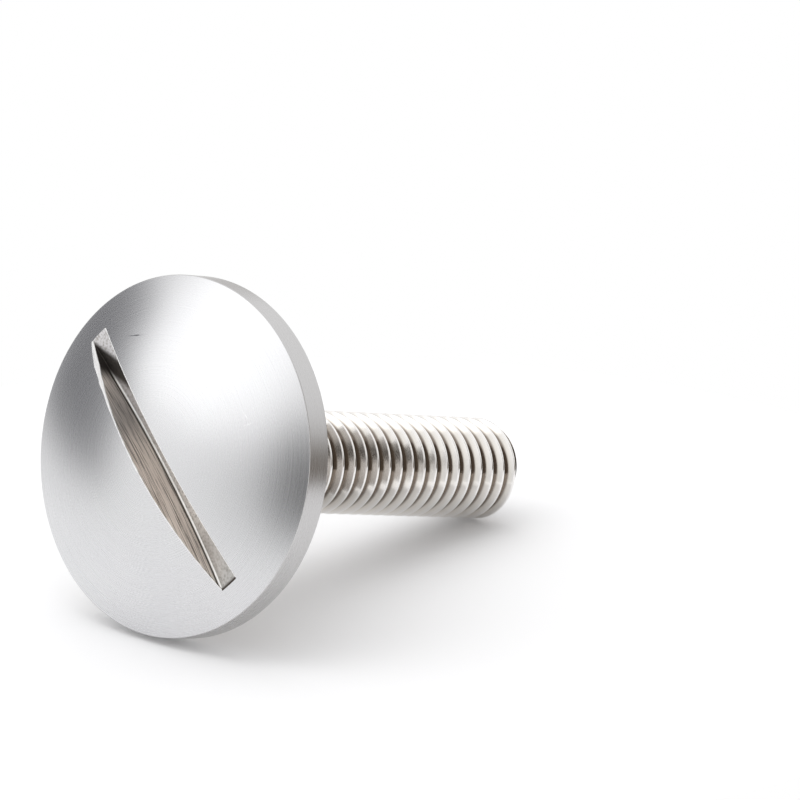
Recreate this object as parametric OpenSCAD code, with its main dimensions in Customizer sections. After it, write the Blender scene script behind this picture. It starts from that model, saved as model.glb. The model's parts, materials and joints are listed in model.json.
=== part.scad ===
// Slotted screw with a large, slightly domed head and a thread right up to the head.
// One turned and rolled piece of stainless steel, lying on its side as it comes to rest:
// the rim of the head and the last thread crest touch the surface, and the tip points along +X.
// Millimetres. The screw is drawn upright on its bearing face first, with the tip up, and then laid down.

/* [Head] */
// Diameter of the head
head_d = 19.7; // [14:0.1:26]
// Height of the straight band round the head
rim_h = 1.45; // [0.8:0.05:3]
// Rise of the domed top above the band
dome_h = 2; // [1:0.1:4]
// Width of the bevel on the bearing side, measured along the face
bevel_w = 0.5; // [0.1:0.05:1]
// Height of the bevel on the bearing side
bevel_h = 0.4; // [0.1:0.05:1]

/* [Driver slot] */
// Width of the slot at its floor
slot_w = 1.2; // [0.8:0.05:2]
// Depth of the slot at its middle, below the top of the dome
slot_t = 2; // [1.2:0.05:2.6]
// Slope of each slot wall, in degrees from upright
slot_draft = 9.5; // [0:0.5:15]
// Radius of the arc that the slot's floor follows from end to end
slot_r = 62; // [30:1:80]
// Distance of the slot from the middle of the head
slot_shift = 0.2; // [-0.5:0.05:0.5]
// Turn of the slot from upright on the lying head, in degrees
slot_turn = 48; // [0:1:180]

/* [Shank] */
// Outside diameter of the thread
thread_d = 5.82; // [5:0.02:7]
// Pitch of the thread
pitch = 1; // [0.7:0.05:1.25]
// Length from the bearing face to the end of the tip
shank_l = 24.7; // [12:0.1:50]
// Diameter of the rolled blank, where the thread runs out below the head
blank_d = 5.5; // [4.6:0.05:5.6]
// Length over which the thread runs out
runout_l = 2; // [1:0.25:4]
// Diameter of the flared foot where the shank meets the head
foot_d = 6.05; // [5.6:0.05:7.5]
// Height of the flared foot
foot_h = 0.7; // [0.3:0.05:1.5]
// Diameter of the flat end of the tip
tip_d = 4.9; // [3:0.1:4.9]
// Length of the bevel at the tip
tip_l = 0.35; // [0.3:0.05:1.5]
// Distance behind the tip's bevel at which the last crest meets the surface
crest_back = 0; // [0:0.05:0.95]

/* [Hidden] */
$fn = 128;

head_r = head_d / 2;
thread_r = thread_d / 2;
head_h = bevel_h + rim_h + dome_h;
dome_r = (head_r * head_r + dome_h * dome_h) / (2 * dome_h);
band_steps = 480;

// Thread form: 60 degrees between the flanks, a flat crest and a root with a shallow round
crest_w = pitch / 8;
root_w = pitch / 4;
flank_w = (pitch - crest_w - root_w) / 2;
flank_depth = flank_w / tan(30);
root_depth = 0.6134 * pitch;
thread_steps = 24;
// One pitch of the form, as steps along the axis and radii
form_z = [0, crest_w, crest_w + flank_w, crest_w + flank_w + root_w / 2, pitch - flank_w];
form_r = [thread_r, thread_r, thread_r - flank_depth, thread_r - root_depth, thread_r - flank_depth];

// The rod starts inside the head and ends past the tip, where the tip's bevel trims it.
// Its last full crest on the underside of the lying screw meets the surface with the flat of one facet.
sink = 1.2 * pitch;
rest_z = shank_l - tip_l - crest_back;
rest_r = thread_r * cos(180 / thread_steps);
whole_turns = ceil((rest_z + sink) / pitch);
rod_start = rest_z - crest_w - whole_turns * pitch;
rod_turns = whole_turns + ceil((shank_l - rest_z) / pitch) + 1;

// Lying pose: the bevel's outer edge on the head and the last crest touch the surface
lie_tilt = atan2(head_r - rest_r, rest_z + bevel_h);
lie_z = head_r * cos(lie_tilt) - bevel_h * sin(lie_tilt);
low_x = (dome_r - head_h) * cos(lie_tilt) - dome_r;
high_x = tip_d / 2 * sin(lie_tilt) + shank_l * cos(lie_tilt);
lie_x = -(low_x + high_x) / 2;

// How much of the full thread form is left at height z, from 0 at the foot to 1
function thread_share(z) = min(1, max(0, (z - foot_h) / runout_l));

// Point j of the thread form, k steps along the helix
function rod_point(k, j) =
    let (
        turns = (k - 0.5) / thread_steps,
        z = rod_start + pitch * turns + form_z[j],
        r = blank_d / 2 + (form_r[j] - blank_d / 2) * thread_share(z)
    )
    [r * cos(360 * turns), r * sin(360 * turns), z];

// The rolled shank as one closed helical skin
module threaded_rod() {
    rows = len(form_z);
    steps = thread_steps * rod_turns;
    last = steps + thread_steps;
    at = function (k, j) j < rows ? k * rows + j : (k + thread_steps) * rows;
    skin = [for (k = [0:last]) for (j = [0:rows - 1]) rod_point(k, j)];
    low_hub = len(skin);
    high_hub = low_hub + 1;
    hubs = [
        [0, 0, rod_start + pitch / 2],
        [0, 0, rod_start + pitch * (steps + thread_steps / 2) / thread_steps]
    ];
    flanks = [
        for (k = [0:steps - 1]) for (j = [0:rows - 1])
            each [
                [at(k, j), at(k, j + 1), at(k + 1, j + 1)],
                [at(k, j), at(k + 1, j + 1), at(k + 1, j)]
            ]
    ];
    low_end = [for (k = [0:thread_steps - 1]) [low_hub, at(k, 0), at(k + 1, 0)]];
    low_step = [for (j = [0:rows - 1]) [low_hub, at(0, j + 1), at(0, j)]];
    high_end = [for (k = [steps:last - 1]) [high_hub, at(k + 1, 0), at(k, 0)]];
    high_step = [for (j = [0:rows - 1]) [high_hub, at(steps, j), at(steps, j + 1)]];
    polyhedron(
        points = concat(skin, hubs),
        faces = concat(flanks, low_end, low_step, high_end, high_step),
        convexity = 10
    );
}

// Space that the tip's bevel leaves for the thread
module tip_envelope() {
    slope = tip_l / (thread_r - tip_d / 2);
    wide = 2 * thread_r;
    rotate_extrude()
        polygon([
            [0, -head_h],
            [wide, -head_h],
            [wide, shank_l - tip_l - slope * (wide - thread_r)],
            [tip_d / 2, shank_l],
            [0, shank_l]
        ]);
}

// Round of the band, in many short flats that are under a micrometre off the circle.
// A lying head rests steadily on them, where longer flats would let it rock.
module band_round() {
    translate([0, 0, -2 * head_h])
        linear_extrude(3 * head_h)
            polygon([for (k = [0:band_steps - 1]) head_r * [cos(360 * k / band_steps), sin(360 * k / band_steps)]]);
}

// Domed head with its band, bevel and the flared foot of the shank
module head_blank() {
    lap = foot_h / 5;
    spare = bevel_w / 4;
    intersection() {
        rotate_extrude()
            polygon([
                [0, foot_h],
                [blank_d / 2 - lap, foot_h],
                [foot_d / 2, 0],
                [head_r - bevel_w, 0],
                [head_r + spare, -bevel_h * (1 + spare / bevel_w)],
                [head_r + spare, -2 * head_h],
                [0, -2 * head_h]
            ]);
        translate([0, 0, dome_r - head_h]) sphere(r = dome_r);
        band_round();
    }
}

// Disc with sloping sides that cuts the slot along an arc
module slot_cutter() {
    reach = head_h;
    half_w = slot_w / 2;
    flare = reach * tan(slot_draft);
    rotate([0, 0, -slot_turn])
        translate([0, slot_shift, slot_t - head_h - slot_r])
            rotate([90, 0, 0])
                rotate_extrude($fn = 360)
                    polygon([
                        [slot_r - reach, -half_w - flare],
                        [slot_r, -half_w],
                        [slot_r, half_w],
                        [slot_r - reach, half_w + flare]
                    ]);
}

// The whole screw, upright on its bearing face
module upright_screw() {
    difference() {
        head_blank();
        slot_cutter();
    }
    intersection() {
        threaded_rod();
        tip_envelope();
    }
}

// The screw as it lies
module screw() {
    color("silver")
        translate([lie_x, 0, lie_z])
            rotate([0, 90 + lie_tilt, 0])
                upright_screw();
}

screw();
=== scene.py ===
import json
import math

import bpy
import numpy as np
from mathutils import Matrix, Quaternion, Vector


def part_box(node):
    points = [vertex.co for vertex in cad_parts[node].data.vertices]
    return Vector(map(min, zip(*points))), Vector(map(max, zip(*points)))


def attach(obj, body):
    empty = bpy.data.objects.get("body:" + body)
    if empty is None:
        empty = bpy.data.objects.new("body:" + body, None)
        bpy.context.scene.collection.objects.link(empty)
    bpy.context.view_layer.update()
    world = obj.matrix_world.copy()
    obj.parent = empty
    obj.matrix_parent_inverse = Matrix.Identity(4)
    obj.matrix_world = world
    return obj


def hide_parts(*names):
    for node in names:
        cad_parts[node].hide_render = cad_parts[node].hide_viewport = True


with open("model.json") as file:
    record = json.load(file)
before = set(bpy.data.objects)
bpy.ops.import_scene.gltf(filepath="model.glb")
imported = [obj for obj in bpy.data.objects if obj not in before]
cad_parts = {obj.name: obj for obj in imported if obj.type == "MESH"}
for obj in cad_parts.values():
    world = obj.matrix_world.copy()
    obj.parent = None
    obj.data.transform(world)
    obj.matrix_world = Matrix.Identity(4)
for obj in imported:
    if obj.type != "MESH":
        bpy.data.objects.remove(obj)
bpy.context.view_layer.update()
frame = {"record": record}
mm = 0.001

# The screw is modelled upright in millimetres, with the seat of the head at z 0 and the tip up,
# and is then laid where the CAD screw lies
threadMount = next(m for m in frame["record"]["mounts"] if m["name"] == "thread")
screwAxis = Vector(threadMount["axis"])
screwTip = Vector(threadMount["pos_m"])
shankLength = threadMount["dims"]["length_mm"]
seatPoint = screwTip - screwAxis * shankLength * mm
layTurn = math.pi / 2 + math.atan2(-screwAxis.z, screwAxis.x)
boxLow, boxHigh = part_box("screw")
headRadius = (boxHigh.y - boxLow.y) / mm / 2
# The CAD thread has flats round each turn, and the screw lies on one of them
cadFlats = 24
threadRadius = threadMount["dims"]["r_mm"] * math.cos(math.pi / cadFlats)


def pick(piece):
    if bpy.context.mode != "OBJECT":
        bpy.ops.object.mode_set(mode="OBJECT")
    bpy.ops.object.select_all(action="DESELECT")
    piece.select_set(True)
    bpy.context.view_layer.objects.active = piece


def useModifier(piece, kind, **settings):
    pick(piece)
    modifier = piece.modifiers.new(kind, kind)
    for name, value in settings.items():
        setattr(modifier, name, value)
    bpy.ops.object.modifier_apply(modifier=modifier.name)


def cutWith(piece, tool, operation):
    useModifier(piece, "BOOLEAN", operation=operation, object=tool, solver="EXACT", material_mode="TRANSFER")
    bpy.data.objects.remove(tool)


# Corners are (radius, height, round); each round becomes a short arc
def roundCorners(corners, arcSteps=4):
    path = []
    for i, (radius, height, rounding) in enumerate(corners):
        here = Vector((radius, height))
        if not rounding:
            path.append(here)
            continue
        back = (Vector(corners[i - 1][:2]) - here).normalized()
        on = (Vector(corners[i + 1][:2]) - here).normalized()
        half = back.angle(on) / 2
        centre = here + (back + on).normalized() * rounding / math.sin(half)
        start = here + back * rounding / math.tan(half) - centre
        end = here + on * rounding / math.tan(half) - centre
        first = math.atan2(start.y, start.x)
        sweep = (math.atan2(end.y, end.x) - first + math.pi) % math.tau - math.pi
        for k in range(arcSteps + 1):
            turn = first + sweep * k / arcSteps
            path.append(centre + rounding * Vector((math.cos(turn), math.sin(turn))))
    return path


# One vertex, extruded along the points as an open chain
def traceChain(name, points):
    bpy.ops.object.select_all(action="DESELECT")
    bpy.ops.mesh.primitive_plane_add(size=0.1, location=(0, 0, 0))
    piece = bpy.context.object
    piece.name = name
    bpy.ops.object.mode_set(mode="EDIT")
    bpy.ops.mesh.select_mode(type="VERT")
    bpy.ops.mesh.select_all(action="SELECT")
    bpy.ops.mesh.merge(type="CENTER")
    bpy.ops.transform.translate(value=points[0])
    for here, there in zip(points, points[1:]):
        bpy.ops.mesh.extrude_vertices_move(TRANSFORM_OT_translate={"value": Vector(there) - Vector(here)})
    bpy.ops.object.mode_set(mode="OBJECT")
    return piece


def closeSkin(piece, gap=0.0005):
    pick(piece)
    bpy.ops.object.mode_set(mode="EDIT")
    bpy.ops.mesh.select_all(action="SELECT")
    bpy.ops.mesh.remove_doubles(threshold=gap)
    bpy.ops.mesh.normals_make_consistent(inside=False)
    bpy.ops.object.mode_set(mode="OBJECT")


# A chain of (radius, height) points turned about the screw's axis, as on a lathe
def turnOnLathe(name, outline, steps):
    piece = traceChain(name, [(p[0], 0, p[1]) for p in outline])
    bpy.ops.object.mode_set(mode="EDIT")
    bpy.ops.mesh.select_all(action="SELECT")
    bpy.ops.mesh.spin(steps=steps, angle=math.tau, center=(0, 0, 0), axis=(0, 0, 1))
    bpy.ops.object.mode_set(mode="OBJECT")
    closeSkin(piece)
    return piece


def linear(hexColour):
    parts = [int(hexColour[i:i + 2], 16) / 255 for i in (1, 3, 5)]
    return [c / 12.92 if c <= 0.04045 else ((c + 0.055) / 1.055) ** 2.4 for c in parts] + [1]


# Adds a node with its settings; a socket gets a value or the output that feeds it
def addNode(tree, kind, settings={}, sockets={}, output=0):
    node = tree.nodes.new("ShaderNode" + kind)
    for name, value in settings.items():
        setattr(node, name, value)
    for name, value in sockets.items():
        if isinstance(value, bpy.types.NodeSocket):
            tree.links.new(value, node.inputs[name])
        else:
            node.inputs[name].default_value = value
    return node.outputs[output] if node.outputs else node


colourMix = {"data_type": "RGBA"}
softEdge = {"interpolation_type": "SMOOTHSTEP"}
noiseSpread = {1: 0.3, 2: 0.7}  # nearly all of a noise texture lies between these


# Tone that changes along a value, through (place, colour) stops
def tonesAlong(tree, value, stops):
    tone = linear(stops[0][1])
    for (start, _), (end, colour) in zip(stops, stops[1:]):
        share = addNode(tree, "MapRange", {}, {"Value": value, 1: start, 2: end})
        tone = addNode(tree, "Mix", colourMix, {"Factor": share, 6: tone, 7: linear(colour)}, 2)
    return tone


def startMaterial(name):
    material = bpy.data.materials.new(name)
    material.use_nodes = True
    tree = material.node_tree
    tree.nodes.clear()
    place = addNode(tree, "TexCoord", output=3)
    # Upright millimetres on the screw
    upright = addNode(tree, "Mapping", {"vector_type": "TEXTURE"}, {
        "Vector": place, "Location": seatPoint, "Rotation": (0, layTurn, 0), "Scale": (mm, mm, mm)})
    return material, tree, upright


def endMaterial(tree, **sockets):
    shader = addNode(tree, "BsdfPrincipled", {}, {"Metallic": 1, **sockets})
    addNode(tree, "OutputMaterial", {}, {"Surface": shader})


# Distance from the screw's axis, for marks that run round it
def radiusOf(tree, upright):
    flat = addNode(tree, "VectorMath", {"operation": "MULTIPLY"}, {0: upright, 1: (1, 1, 0)})
    return addNode(tree, "VectorMath", {"operation": "LENGTH"}, {0: flat}, 1)


# Brush marks are drawn coarser than the real ones, so that they show at all
satinDome = {"steel": "#dcdcdd", "dull": "#d4d4d6", "markWidth": 0.09, "blotch": 4.0,
             "roughness": (0.25, 0.29), "bump": {"Strength": 0.004, "Distance": 0.01 * mm}}
# Scratches on the dome in millimetres and degrees, seen along the screw's axis
scratches = [
    {"at": (-5.98, 3.28), "length": 1.9, "width": 0.06, "turn": -104, "tone": "#8a8a90"},
    {"at": (-6.02, 3.13), "length": 0.6, "width": 0.09, "turn": -104, "tone": "#4a4a50"},
    {"at": (-3.40, -5.60), "length": 0.8, "width": 0.06, "turn": -51, "tone": "#e8e8e8"},
    {"at": (-2.95, -5.90), "length": 0.9, "width": 0.05, "turn": -118, "tone": "#e5e5e5"},
    {"at": (-4.16, -3.06), "length": 1.9, "width": 0.05, "turn": -80, "tone": "#e2e2e2"},
]
scratchReach = 1000  # far along the axis, so that a scratch is an oval on the dome
scratchCore = 0.2  # share of the oval that has the full tone


# Stainless steel turned and fine-brushed while spinning: a broad soft sheen,
# with faint rings and a few scratches
def makeSatinDome():
    material, tree, upright = startMaterial("satinTurnedStainless")
    radius = radiusOf(tree, upright)
    rings = addNode(tree, "TexNoise", {"noise_dimensions": "1D"}, {
        "W": radius, "Scale": 1 / satinDome["markWidth"], "Detail": 3, "Roughness": 0.7})
    cloud = addNode(tree, "TexNoise", {}, {"Vector": upright, "Scale": 1 / satinDome["blotch"], "Detail": 3})
    tone = addNode(tree, "Mix", colourMix, {
        "Factor": cloud, 6: linear(satinDome["dull"]), 7: linear(satinDome["steel"])}, 2)
    for scratch in scratches:
        spot = addNode(tree, "Mapping", {"vector_type": "TEXTURE"}, {
            "Vector": upright, "Location": (*scratch["at"], 0),
            "Rotation": (0, 0, math.radians(scratch["turn"])),
            "Scale": (scratch["length"] / 2, scratch["width"] / 2, scratchReach)})
        away = addNode(tree, "VectorMath", {"operation": "LENGTH"}, {0: spot}, 1)
        inside = addNode(tree, "MapRange", softEdge, {"Value": away, 1: 1, 2: scratchCore})
        tone = addNode(tree, "Mix", colourMix, {"Factor": inside, 6: tone, 7: linear(scratch["tone"])}, 2)
    low, high = satinDome["roughness"]
    rough = addNode(tree, "MapRange", {}, {"Value": rings, **noiseSpread, 3: low, 4: high})
    bump = addNode(tree, "Bump", {}, {"Height": rings, **satinDome["bump"]})
    endMaterial(tree, **{"Base Color": tone, "Roughness": rough, "Normal": bump})
    return material


# The tool's marks are drawn coarser than the real ones, so that they show at all
turnedEdge = {"steel": "#cdcccc", "dull": "#c0bfbf", "markWidth": 0.06, "roughness": (0.22, 0.32),
              "bump": {"Strength": 0.1, "Distance": 0.01 * mm}}


# Stainless steel straight from the lathe tool on the band, bevel and tip: fine rings and a brighter sheen
def makeTurnedEdge():
    material, tree, upright = startMaterial("latheTurnedStainless")
    radius = radiusOf(tree, upright)
    height = addNode(tree, "SeparateXYZ", {}, {0: upright}, 2)
    across = addNode(tree, "Math", {"operation": "ADD"}, {0: radius, 1: height})
    rings = addNode(tree, "TexNoise", {"noise_dimensions": "1D"}, {
        "W": across, "Scale": 1 / turnedEdge["markWidth"], "Detail": 2, "Roughness": 0.6})
    tone = addNode(tree, "Mix", colourMix, {
        "Factor": rings, 6: linear(turnedEdge["dull"]), 7: linear(turnedEdge["steel"])}, 2)
    low, high = turnedEdge["roughness"]
    rough = addNode(tree, "MapRange", {}, {"Value": rings, **noiseSpread, 3: low, 4: high})
    bump = addNode(tree, "Bump", {}, {"Height": rings, **turnedEdge["bump"]})
    endMaterial(tree, **{"Base Color": tone, "Roughness": rough, "Normal": bump})
    return material


# The saw's streaks are drawn coarser than the real ones, so that they show at all
sawnSlot = {
    "wall": "#fdf6f0", "wallDark": "#71665f", "roughness": (0.45, 0.62),
    "streakWidth": 0.05, "streakLength": 3.0, "streakShare": (0.36, 0.5),
    "bump": {"Strength": 0.8, "Distance": 0.02 * mm},
    # Painted highlight: a bright stripe where wall meets floor; above it on the wall, a stripe of painted
    # shade
    "bright": "#fbfaf8", "paintedHighlightWidth": 0.075, "paintedShade": "#4a443f", "creaseShadeWidth": 0.17,
    # Tones of the floor from one end to the other, with darker specks and a smoother skin than the walls
    "floor": [(-8.3, "#d8d6d7"), (-4.0, "#bbb9ba"), (-1.0, "#c8c5c1"), (3.5, "#d2cfcb"), (5.5, "#b8b5b2"),
              (8.3, "#c4c2bf")],
    "floorEdge": 0.03, "floorPolish": 0.15, "speck": "#a09c97", "speckSize": 0.13, "speckShare": (0.46, 0.7),
    # Painted dark reflection: a slanting dark area on the floor near one end; painted shadow round the other
    # end, just under the dome's skin
    "paintedDarkReflection": "#46423f", "slant": 2.4, "darkReflectionPatch": (-7.4, -6.5, -5.1, -3.9),
    "endRimShadow": {"start": 6.5, "fade": 0.8, "width": 0.07},
}


# Stainless steel sawn by a disc cutter: brownish walls with streaks along the slot, a painted highlight
# where wall meets floor, painted shade above it and at one end, and a painted dark reflection near the other
# end
def makeSawnSlot():
    material, tree, upright = startMaterial("sawnSlotStainless")
    turned = addNode(tree, "VectorRotate", {"rotation_type": "Z_AXIS"}, {
        "Vector": upright, "Angle": math.radians(slot["turn"])})
    fromDisc = addNode(tree, "VectorMath", {"operation": "SUBTRACT"}, {
        0: turned, 1: (0, slot["shift"], discHeight)})
    along, side, _ = addNode(tree, "SeparateXYZ", {}, {0: fromDisc}).node.outputs
    across = addNode(tree, "Math", {"operation": "ABSOLUTE"}, {0: side})
    beside = addNode(tree, "Math", {"operation": "SUBTRACT"}, {0: across, 1: halfWidth})
    flat = addNode(tree, "VectorMath", {"operation": "MULTIPLY"}, {0: fromDisc, 1: (1, 0, 1)})
    reach = addNode(tree, "VectorMath", {"operation": "LENGTH"}, {0: flat}, 1)
    rise = addNode(tree, "Math", {"operation": "SUBTRACT"}, {0: slot["arc"], 1: reach})

    # Streaks follow the cutter's path
    path = addNode(tree, "CombineXYZ", {}, {0: along, 1: across, 2: rise})
    stretched = addNode(tree, "Mapping", {}, {"Vector": path, "Scale": (
        1 / sawnSlot["streakLength"], 1 / sawnSlot["streakWidth"], 1 / sawnSlot["streakWidth"])})
    streaks = addNode(tree, "TexNoise", {}, {"Vector": stretched, "Scale": 1, "Detail": 3, "Roughness": 0.65})
    low, high = sawnSlot["streakShare"]
    share = addNode(tree, "MapRange", {}, {"Value": streaks, 1: low, 2: high})
    wall = addNode(tree, "Mix", colourMix, {
        "Factor": share, 6: linear(sawnSlot["wallDark"]), 7: linear(sawnSlot["wall"])}, 2)

    floor = tonesAlong(tree, along, sawnSlot["floor"])
    specks = addNode(tree, "TexNoise", {}, {
        "Vector": fromDisc, "Scale": 1 / sawnSlot["speckSize"], "Detail": 3})
    low, high = sawnSlot["speckShare"]
    specks = addNode(tree, "MapRange", {}, {"Value": specks, 1: low, 2: high})
    floor = addNode(tree, "Mix", colourMix, {"Factor": specks, 6: floor, 7: linear(sawnSlot["speck"])}, 2)
    onFloor = addNode(tree, "MapRange", {}, {"Value": beside, 1: 0, 2: -sawnSlot["floorEdge"]})

    offFloor = addNode(tree, "Math", {"operation": "SUBTRACT"}, {0: 1, 1: onFloor})
    # Painted shade on the wall, darkest just above the floor
    paintedShade = addNode(tree, "MapRange", softEdge, {
        "Value": rise, 1: 1.5 * sawnSlot["creaseShadeWidth"], 2: 0.7 * sawnSlot["creaseShadeWidth"]})
    paintedShade = addNode(tree, "Math", {"operation": "MULTIPLY"}, {0: paintedShade, 1: offFloor})
    # Painted highlight along the rounded join of wall and floor
    paintedCornerHighlight = addNode(tree, "CombineXYZ", {}, {0: beside, 1: rise})
    paintedCornerHighlight = addNode(tree, "VectorMath", {"operation": "LENGTH"}, {0: paintedCornerHighlight}, 1)
    paintedCornerHighlight = addNode(tree, "MapRange", softEdge, {
        "Value": paintedCornerHighlight, 1: 1.3 * sawnSlot["paintedHighlightWidth"], 2: 0.7 * sawnSlot["paintedHighlightWidth"]})

    # Painted dark reflection: a slanting dark area on the floor near one end
    slanted = addNode(tree, "Math", {"operation": "MULTIPLY_ADD"}, {0: side, 1: sawnSlot["slant"], 2: along})
    begin, full, fade, end = sawnSlot["darkReflectionPatch"]
    darkReflectionPatch = addNode(tree, "MapRange", softEdge, {"Value": slanted, 1: begin, 2: full})
    faded = addNode(tree, "MapRange", softEdge, {"Value": slanted, 1: end, 2: fade})
    darkReflectionPatch = addNode(tree, "Math", {"operation": "MULTIPLY"}, {0: darkReflectionPatch, 1: faded})

    # The dome's own skin is where the distance from its centre is its arc
    # Painted shadow: a dark band just under the dome's skin towards one end of the slot
    endRimShadow = sawnSlot["endRimShadow"]
    below = addNode(tree, "VectorMath", {"operation": "DISTANCE"}, {
        0: upright, 1: (0, 0, headTop + domeArc)}, 1)
    atSkin = addNode(tree, "MapRange", {}, {
        "Value": below, 1: domeArc - 1.4 * endRimShadow["width"], 2: domeArc - 0.6 * endRimShadow["width"]})
    atEnd = addNode(tree, "MapRange", {}, {
        "Value": along, 1: endRimShadow["start"], 2: endRimShadow["start"] + endRimShadow["fade"]})
    endShadowMask = addNode(tree, "Math", {"operation": "MULTIPLY"}, {0: atSkin, 1: atEnd})

    # Each layer lies over the ones before it
    layers = [
        (onFloor, floor),
        (paintedShade, linear(sawnSlot["paintedShade"])),
        (paintedCornerHighlight, linear(sawnSlot["bright"])),
        (darkReflectionPatch, linear(sawnSlot["paintedDarkReflection"])),
        (endShadowMask, linear(sawnSlot["paintedShade"])),
    ]
    tone = wall
    for share, colour in layers:
        tone = addNode(tree, "Mix", colourMix, {"Factor": share, 6: tone, 7: colour}, 2)
    low, high = sawnSlot["roughness"]
    rough = addNode(tree, "MapRange", {}, {"Value": streaks, **noiseSpread, 3: low, 4: high})
    rough = addNode(tree, "Math", {"operation": "MULTIPLY_ADD"}, {
        0: onFloor, 1: -sawnSlot["floorPolish"], 2: rough})
    bump = addNode(tree, "Bump", {}, {"Height": streaks, **sawnSlot["bump"]})
    endMaterial(tree, **{"Base Color": tone, "Roughness": rough, "Normal": bump})
    return material


headedSeat = {"steel": "#cac6c3", "dull": "#bcb8b4", "grain": 0.3, "roughness": (0.2, 0.28),
              "bump": {"Strength": 0.1, "Distance": 0.01 * mm}}


# Stainless steel as the heading die leaves it under the head: satin, a little duller and slightly grainy
def makeHeadedSeat():
    material, tree, upright = startMaterial("coldHeadedStainless")
    grain = addNode(tree, "TexNoise", {}, {"Vector": upright, "Scale": 1 / headedSeat["grain"], "Detail": 4})
    tone = addNode(tree, "Mix", colourMix, {
        "Factor": grain, 6: linear(headedSeat["dull"]), 7: linear(headedSeat["steel"])}, 2)
    low, high = headedSeat["roughness"]
    rough = addNode(tree, "MapRange", {}, {"Value": grain, **noiseSpread, 3: low, 4: high})
    bump = addNode(tree, "Bump", {}, {"Height": grain, **headedSeat["bump"]})
    endMaterial(tree, **{"Base Color": tone, "Roughness": rough, "Normal": bump})
    return material


tornBurr = {"steel": "#ffffff", "dull": "#f2f1f0", "grain": 0.08, "roughness": (0.45, 0.6)}


# Stainless steel torn up by the cutter along the lips: fresh, bright and rough
def makeTornBurr():
    material, tree, upright = startMaterial("tornBurrStainless")
    grain = addNode(tree, "TexNoise", {}, {"Vector": upright, "Scale": 1 / tornBurr["grain"], "Detail": 2})
    tone = addNode(tree, "Mix", colourMix, {
        "Factor": grain, 6: linear(tornBurr["dull"]), 7: linear(tornBurr["steel"])}, 2)
    low, high = tornBurr["roughness"]
    rough = addNode(tree, "MapRange", {}, {"Value": grain, **noiseSpread, 3: low, 4: high})
    endMaterial(tree, **{"Base Color": tone, "Roughness": rough})
    return material


rolledThread = {"roughness": (0.08, 0.14), "flow": 0.25, "depth": 0.6,
                # Tones from the bottom of the root to the top of the crest; the dark brownish root tone is
                # painted shade in the grooves
                "rootShadedTones": [(0.0, "#877d74"), (0.43, "#877d74"), (0.6, "#e2ddd6"), (1.0, "#f2f0ee")]}


# Stainless steel pressed between thread dies: bright burnished crests, and roots darkened brownish by painted
# shade
def makeRolledThread():
    material, tree, upright = startMaterial("rolledThreadStainless")
    radius = radiusOf(tree, upright)
    height = addNode(tree, "MapRange", {}, {
        "Value": radius, 1: threadRadius - rolledThread["depth"], 2: threadRadius})
    tone = tonesAlong(tree, height, rolledThread["rootShadedTones"])
    flow = addNode(tree, "TexNoise", {}, {"Vector": upright, "Scale": 1 / rolledThread["flow"], "Detail": 2})
    low, high = rolledThread["roughness"]
    rough = addNode(tree, "MapRange", {}, {"Value": flow, **noiseSpread, 3: low, 4: high})
    endMaterial(tree, **{"Base Color": tone, "Roughness": rough})
    return material


head = {"rim": 1.45, "dome": 2.0, "bevelWidth": 0.5, "bevelHeight": 0.4, "edgeRound": 0.06, "seatRound": 0.05,
        "footRadius": 3.025, "footHeight": 0.7, "footLap": 0.14, "rings": 52, "steps": 256,
        # Hollow, lip and edge of the foot of the shank: inset, height, round
        "footCorners": [(0.07, 0.1, 0.25), (0, 0.05, 0.03), (0, 0, 0)]}
# The wall of the shadowed lip, side -1, slopes a little more, because that lip is worn back
slot = {"width": 1.2, "depth": 2.0, "draft": {1: 9.5, -1: 15.0}, "arc": 62.0, "shift": 0.2, "turn": 48.0,
        "floorRound": 0.05, "toolReach": 4.0, "sweep": 26.0, "steps": 72}
thread = {"pitch": 1.0, "blankRadius": 2.75, "runout": 2.0, "crestRound": 0.05, "rootRound": 0.1443,
          "flankLean": 30, "tipRadius": 2.45, "tipBevel": 0.35, "tipRound": 0.12, "embed": 0.5,
          "spareLow": 0.1, "spareHigh": 0.4, "steps": 72, "tipSteps": 170}

rimLow = -head["bevelHeight"]
rimHigh = rimLow - head["rim"]
headTop = rimHigh - head["dome"]
discHeight = headTop + slot["depth"] - slot["arc"]
halfWidth = slot["width"] / 2
domeArc = (headRadius ** 2 + head["dome"] ** 2) / (2 * head["dome"])
slotSteel = makeSawnSlot()
domeSteel = makeSatinDome()
edgeSteel = makeTurnedEdge()
seatSteel = makeHeadedSeat()
burrSteel = makeTornBurr()
threadSteel = makeRolledThread()

# Head, from the foot of the shank round the rim to the top of the dome
domeHalf = math.asin(headRadius / domeArc)
domePoints = []
for k in range(1, head["rings"] + 1):
    lean = domeHalf * (1 - k / head["rings"])
    domePoints.append((domeArc * math.sin(lean), headTop + domeArc * (1 - math.cos(lean))))
headCorners = [
    (0, head["footHeight"], 0),
    (thread["blankRadius"] - head["footLap"], head["footHeight"], 0),
    *[(head["footRadius"] - inset, height, rounding) for inset, height, rounding in head["footCorners"]],
    (headRadius - head["bevelWidth"], 0, head["seatRound"]),
    (headRadius, rimLow, head["edgeRound"]),
    (headRadius, rimHigh, head["edgeRound"]),
    (*domePoints[0], 0),
]
headOutline = roundCorners(headCorners) + [Vector(p) for p in domePoints[1:]]
screw = turnOnLathe("screw_body", headOutline, head["steps"])
finishes = [domeSteel, edgeSteel, threadSteel, seatSteel, slotSteel]
for steel in finishes:
    screw.data.materials.append(steel)
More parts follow.
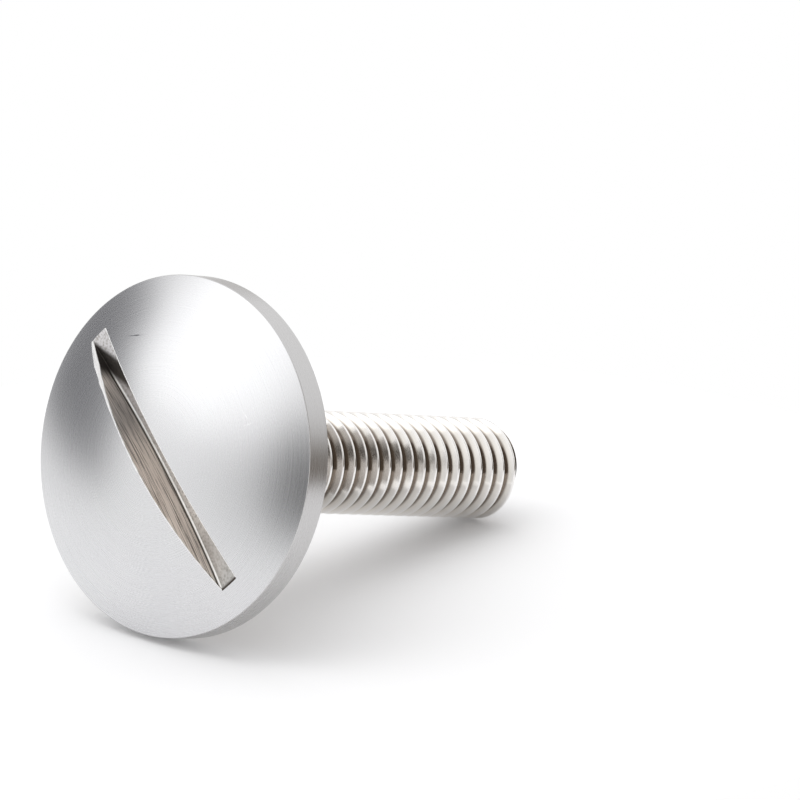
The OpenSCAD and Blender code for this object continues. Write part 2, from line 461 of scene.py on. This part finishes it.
# Limits of the upright part of a face's normal on the dome and on the seat, and margins in millimetres
domeFacing, seatFacing = -0.8, 0.95
domeGap, footGap = 0.02, 0.01
for face in screw.data.polygons:
    if face.center.z < rimHigh - domeGap and face.normal.z < domeFacing:
        steel = domeSteel
    elif math.hypot(face.center.x, face.center.y) < head["footRadius"] + footGap:
        steel = threadSteel
    elif face.normal.z > seatFacing:
        steel = seatSteel
    else:
        steel = edgeSteel
    face.material_index = finishes.index(steel)
print("head turned", len(screw.data.polygons), "faces")

# Slot, sawn by a disc with sloping sides
toolEdge = slot["arc"] - slot["toolReach"]
flare = {side: slot["toolReach"] * math.tan(math.radians(draft)) for side, draft in slot["draft"].items()}
toolCorners = [
    (-halfWidth - flare[-1], toolEdge, 0),
    (-halfWidth, slot["arc"], slot["floorRound"]),
    (halfWidth, slot["arc"], slot["floorRound"]),
    (halfWidth + flare[1], toolEdge, 0),
]
sweep = math.radians(slot["sweep"])
toolPoints = [
    (p[1] * math.sin(sweep / 2), p[0] + slot["shift"], discHeight + p[1] * math.cos(sweep / 2))
    for p in roundCorners(toolCorners, 3)
]
disc = traceChain("slot_disc", toolPoints)
bpy.ops.object.mode_set(mode="EDIT")
bpy.ops.mesh.select_all(action="SELECT")
bpy.ops.mesh.edge_face_add()
bpy.ops.mesh.select_all(action="SELECT")
bpy.ops.mesh.spin(steps=slot["steps"], angle=sweep, center=(0, slot["shift"], discHeight), axis=(0, 1, 0))
bpy.ops.object.mode_set(mode="OBJECT")
closeSkin(disc)
slotTurn = Matrix.Rotation(-math.radians(slot["turn"]), 4, "Z")
disc.data.transform(slotTurn)
disc.data.materials.append(slotSteel)
print("slot disc box", [round(v, 2) for v in disc.dimensions])
cutWith(screw, disc, "DIFFERENCE")

# Raised burr along each lip of the slot: side, and radius at places along the slot, with an uneven edge
lipBurrs = [
    {"side": 1, "jag": 0.02, "radii": [
        (-8.3, 0.05), (-7.6, 0.13), (-6.8, 0.18), (-5.7, 0.13), (-4.6, 0.07),
        (-3.4, 0.045), (-1.5, 0.045), (0.0, 0.035), (4.0, 0.035), (8.3, 0.025)]},
    {"side": -1, "jag": 0.003, "radii": [(-8.3, 0.02), (8.3, 0.02)]},
]
burrStep = 0.3


# Place on a lip where the sloping wall breaks through the dome; the rise settles within a few rounds
def lipPoint(along, side, rounds=30):
    rise = 1.0
    for _ in range(rounds):
        across = slot["shift"] + side * (halfWidth + rise * math.tan(math.radians(slot["draft"][side])))
        height = headTop + domeArc - math.sqrt(domeArc ** 2 - along ** 2 - across ** 2)
        rise = slot["arc"] - math.hypot(along, height - discHeight)
    return Vector((along, across, height))


chance = np.random.default_rng(5)
for burr in lipBurrs:
    places, radii = zip(*burr["radii"])
    count = round((places[-1] - places[0]) / burrStep) + 1
    points = [lipPoint(along, burr["side"]) for along in np.linspace(places[0], places[-1], count)]
    bead = traceChain("lip_burr", points)
    bpy.ops.object.convert(target="CURVE")
    bead.data.bevel_depth = 1  # each point's radius then is the bead's own
    bead.data.bevel_resolution = 1
    bead.data.use_fill_caps = True
    for point in bead.data.splines[0].points:
        point.radius = np.interp(point.co.x, places, radii) + burr["jag"] * chance.uniform(-1, 1)
    bpy.ops.object.convert(target="MESH")
    bead = bpy.context.object
    closeSkin(bead)
    bead.data.transform(slotTurn)
    bead.data.materials.clear()
    bead.data.materials.append(burrSteel)
    cutWith(screw, bead, "UNION")
print("slot cut", len(screw.data.polygons), "faces")

# Shank, a rounded thread form wound up the axis, with a crest an eighth of the pitch wide
pitch = thread["pitch"]
halfCrest = pitch / 16
vDepth = (pitch / 2 - halfCrest) / math.tan(math.radians(thread["flankLean"]))
crestEnd = shankLength - thread["tipBevel"]  # far edge of the last full crest, on the underside
turnsDown = math.ceil(crestEnd / pitch) + 2
threadStart = crestEnd - halfCrest - turnsDown * pitch
formCorners = [
    (threadRadius, threadStart, 0),
    (threadRadius, threadStart + halfCrest, thread["crestRound"]),
    (threadRadius - vDepth, threadStart + pitch / 2, thread["rootRound"] * pitch),
    (threadRadius, threadStart + pitch - halfCrest, thread["crestRound"]),
    (threadRadius, threadStart + pitch, 0),
]
form = roundCorners(formCorners, 4)
shank = traceChain("shank", [(p.x, 0, p.y) for p in form])
useModifier(shank, "SCREW", axis="Z", angle=math.tau, screw_offset=pitch, iterations=turnsDown + 3,
            steps=thread["steps"], render_steps=thread["steps"], use_merge_vertices=False)
closeSkin(shank)

# The thread runs out into the plain blank below the head
for vertex in shank.data.vertices:
    share = min(1, max(0, (vertex.co.z - head["footHeight"]) / thread["runout"]))
    reach = math.hypot(vertex.co.x, vertex.co.y)
    wanted = thread["blankRadius"] + (reach - thread["blankRadius"]) * share
    vertex.co.x *= wanted / reach
    vertex.co.y *= wanted / reach
bpy.ops.object.mode_set(mode="EDIT")
for height, up in ((-thread["embed"] - thread["spareLow"], -1), (shankLength + thread["spareHigh"], 1)):
    bpy.ops.mesh.select_all(action="SELECT")
    bpy.ops.mesh.bisect(plane_co=(0, 0, height), plane_no=(0, 0, up), use_fill=True, clear_outer=True)
bpy.ops.object.mode_set(mode="OBJECT")
closeSkin(shank)
tipSlope = thread["tipBevel"] / (threadRadius - thread["tipRadius"])
wide = 2 * threadRadius
tipCorners = [
    (0, -thread["embed"], 0),
    (wide, -thread["embed"], 0),
    (wide, crestEnd - tipSlope * (wide - threadRadius), 0),
    (thread["tipRadius"], shankLength, thread["tipRound"]),
    (0, shankLength, 0),
]
envelope = turnOnLathe("tip_envelope", roundCorners(tipCorners, 5), thread["tipSteps"])
shank.data.materials.append(threadSteel)
envelope.data.materials.append(edgeSteel)
cutWith(shank, envelope, "INTERSECT")
print("shank rolled", len(shank.data.polygons), "faces")
cutWith(screw, shank, "UNION")
closeSkin(screw, 0.0002)
sharpAngle = 32  # degrees; edges sharper than this stay crisp
bpy.ops.object.shade_smooth_by_angle(angle=math.radians(sharpAngle))
useModifier(screw, "WEIGHTED_NORMAL", keep_sharp=True)

# Laid down where it comes to rest
lay = Matrix.Translation(seatPoint) @ Matrix.Rotation(layTurn, 4, "Y") @ Matrix.Scale(mm, 4)
screw.data.transform(lay)
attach(screw, "root")
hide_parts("screw")
print("screw laid", len(screw.data.polygons), "faces")

floorLook = {"radius": 0.04, "paper": "#e8e8e9", "glow": 0.1}


# Matt white card: it keeps the soft shadow and shows white where no shadow falls
def makeFloor():
    bpy.ops.object.select_all(action="DESELECT")
    bpy.ops.mesh.primitive_circle_add(
        vertices=96, radius=floorLook["radius"], fill_type="NGON", location=(0, 0, 0))
    floor = bpy.context.object
    floor.name = "floor"
    material = bpy.data.materials.new("mattWhiteCard")
    material.use_nodes = True
    tree = material.node_tree
    tree.nodes.clear()
    path = addNode(tree, "LightPath").node.outputs
    shown = addNode(tree, "Math", {"operation": "MAXIMUM"}, {
        0: path["Is Camera Ray"], 1: path["Is Glossy Ray"]})
    shown = addNode(tree, "Math", {"operation": "MAXIMUM"}, {0: shown, 1: path["Is Transmission Ray"]})
    strength = addNode(tree, "Math", {"operation": "MULTIPLY"}, {0: shown, 1: floorLook["glow"]})
    card = addNode(tree, "BsdfDiffuse", {}, {"Color": linear(floorLook["paper"])})
    glow = addNode(tree, "Emission", {}, {"Strength": strength})
    both = addNode(tree, "AddShader", {}, {0: card, 1: glow})
    addNode(tree, "OutputMaterial", {}, {"Surface": both})
    floor.data.materials.append(material)


makeFloor()

# Screens and soft boxes in the white room, in degrees round the screw and above the floor:
# middle, half size, soft edge
studio = {
    "fill": 0.88,
    "room": 1.06,
    "screens": [
        {"round": (-163, 17, 7), "above": (10, 16, 4), "shade": "#78787b", "light": 1},
        {"round": (-123, 24, 9), "above": (55, 34, 3), "shade": "#ffffff", "light": 1.63},
        {"round": (-90, 16, 16), "above": (8.5, 10, 10), "shade": "#e2e2e2", "light": 1},
        {"round": (-83, 10, 6), "above": (11, 13, 8), "shade": "#040405", "light": 1},
        {"round": (128, 12, 6), "above": (3, 10, 5), "shade": "#d6d4d2", "light": 1},
        {"round": (88, 24, 8), "above": (-9, 15, 5), "shade": "#38312b", "light": 1},
        {"round": (46, 18, 8), "above": (-12, 14, 8), "shade": "#7a726a", "light": 1},
        {"round": (18, 24, 8), "above": (18, 32, 3), "shade": "#8a8279", "light": 1},
    ],
}


# A white room with a few soft grey screens; the camera sees plain white
def makeStudio():
    world = bpy.data.worlds.new("studio")
    bpy.context.scene.world = world
    world.use_nodes = True
    tree = world.node_tree
    tree.nodes.clear()
    direction = addNode(tree, "TexCoord")
    level = addNode(tree, "VectorMath", {"operation": "MULTIPLY"}, {0: direction, 1: (1, 1, 0)})
    level = addNode(tree, "VectorMath", {"operation": "NORMALIZE"}, {0: level})
    height = addNode(tree, "SeparateXYZ", {}, {0: direction}, 2)
    shade = [studio["room"]] * 4
    for screen in studio["screens"]:
        middle, half, soft = (math.radians(v) for v in screen["round"])
        near = addNode(tree, "VectorMath", {"operation": "DOT_PRODUCT"}, {
            0: level, 1: (math.sin(middle), -math.cos(middle), 0)}, 1)
        across = addNode(tree, "MapRange", softEdge, {
            "Value": near, 1: math.cos(half + soft), 2: math.cos(max(0, half - soft))})
        middle, half, soft = (math.radians(v) for v in screen["above"])
        off = addNode(tree, "Math", {"operation": "SUBTRACT"}, {0: height, 1: math.sin(middle)})
        off = addNode(tree, "Math", {"operation": "ABSOLUTE"}, {0: off})
        upward = addNode(tree, "MapRange", softEdge, {
            "Value": off, 1: math.sin(half + soft), 2: math.sin(max(0, half - soft))})
        share = addNode(tree, "Math", {"operation": "MULTIPLY"}, {0: across, 1: upward})
        screenShade = [c * screen["light"] for c in linear(screen["shade"])]
        shade = addNode(tree, "Mix", colourMix, {"Factor": share, 6: shade, 7: screenShade}, 2)
    path = addNode(tree, "LightPath").node.outputs
    mirrored = addNode(tree, "Math", {"operation": "MAXIMUM"}, {
        0: path["Is Glossy Ray"], 1: path["Is Transmission Ray"]})
    strength = addNode(tree, "MapRange", {}, {"Value": mirrored, 3: studio["fill"], 4: 1})
    room = addNode(tree, "Background", {}, {"Color": shade, "Strength": strength})
    white = addNode(tree, "Background", {}, {"Color": (1, 1, 1, 1)})
    sky = addNode(tree, "MixShader", {}, {0: path["Is Camera Ray"], 1: room, 2: white})
    addNode(tree, "OutputWorld", {}, {"Surface": sky})


makeStudio()

# Overhead lamp for the floor and its shadow: degrees round the screw and above the floor, metres, watts
lamp = {"round": -174, "above": 71, "distance": 0.6, "size": 0.8, "watts": 1.7}
turn, rise = math.radians(lamp["round"]), math.radians(lamp["above"])
toward = Vector((math.sin(turn) * math.cos(rise), -math.cos(turn) * math.cos(rise), math.sin(rise)))
bpy.ops.object.light_add(type="AREA", location=toward * lamp["distance"])
light = bpy.context.object
light.name = "overhead"
light.visible_camera = False
light.visible_glossy = False
light.rotation_mode = "QUATERNION"
light.rotation_quaternion = (-toward).to_track_quat("-Z", "Y")
light.data.shape = "DISK"
light.data.size = lamp["size"]
light.data.energy = lamp["watts"]

# Places in millimetres, roll in degrees, lens in millimetres of focal length, clipping in metres
view = {"place": (-234.134, -216.578, 113.355), "aim": (5.230, -1.359, 9.213), "roll": -0.406, "lens": 272.0,
        "clip": (0.01, 20)}
place, aim = Vector(view["place"]) * mm, Vector(view["aim"]) * mm
bpy.ops.object.camera_add(location=place)
camera = bpy.context.object
camera.rotation_mode = "QUATERNION"
roll = Quaternion((0, 0, 1), math.radians(view["roll"]))
camera.rotation_quaternion = (aim - place).to_track_quat("-Z", "Y") @ roll
camera.data.lens = view["lens"]
camera.data.clip_start, camera.data.clip_end = view["clip"]
bpy.context.scene.camera = camera
bpy.context.scene.view_settings.view_transform = "Standard"
print("studio set")
